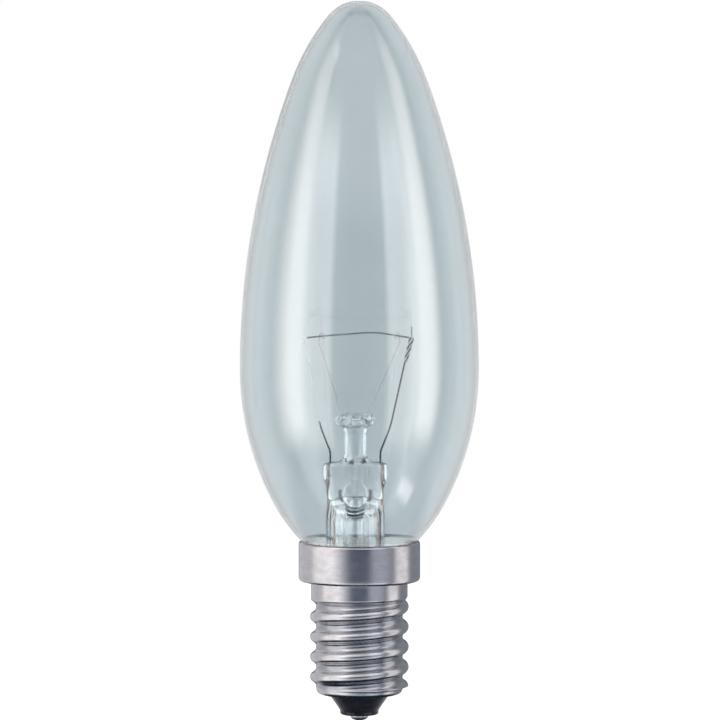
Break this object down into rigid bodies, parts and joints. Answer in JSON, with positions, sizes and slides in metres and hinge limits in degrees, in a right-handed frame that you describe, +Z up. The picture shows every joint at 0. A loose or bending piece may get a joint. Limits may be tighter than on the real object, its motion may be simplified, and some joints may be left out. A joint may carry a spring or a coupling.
{
  "type": "candle bulb",
  "caption": "Clear candle-shaped filament bulb with a small metal screw cap, a glass stem and a thin filament held by wire supports inside the sealed glass.",
  "frame": {"origin": "bottom of the centre contact, on the axis of the cap", "axes": "+Z up the axis to the tip of the glass, +X along the line of the two leads, -Y towards the side of the stem with the exhaust hole"},
  "size_m": [0.0334, 0.0332, 0.1004],
  "materials": {
    "clear_glass": "clear, smooth, blown",
    "stem_glass": "clear, fire polished, with streaks and small bubbles",
    "cap_metal": "rolled sheet, bright, faintly drawn round",
    "black_glass": "black, glossy, moulded",
    "contact_brass": "plain stamped",
    "solder": "dull tin solder",
    "cement": "baked basing cement",
    "lead_nickel": "plain nickel wire",
    "seal_copper": "copper-clad wire, dark red in the glass",
    "tail_copper": "drawn copper wire",
    "support_metal": "drawn molybdenum wire",
    "tungsten": "coiled tungsten wire"
  },
  "bodies": {
    "root": {"contact_solder": "solder", "contact_plate": "contact_brass", "insulator": "black_glass", "cap_shell": "cap_metal", "cap_cement": "cement", "glass_envelope": "clear_glass", "stem_tube": "stem_glass", "exhaust_tube": "stem_glass", "button_rod": "stem_glass", "left_inner_lead": "lead_nickel", "right_inner_lead": "lead_nickel", "left_seal_wire": "seal_copper", "right_seal_wire": "seal_copper", "left_outer_lead": "tail_copper", "right_outer_lead": "tail_copper", "fuse_wire": "tail_copper", "contact_lead": "tail_copper", "side_solder": "solder", "left_support_wire": "support_metal", "right_support_wire": "support_metal", "filament": "tungsten"}
  },
  "joints": []
}
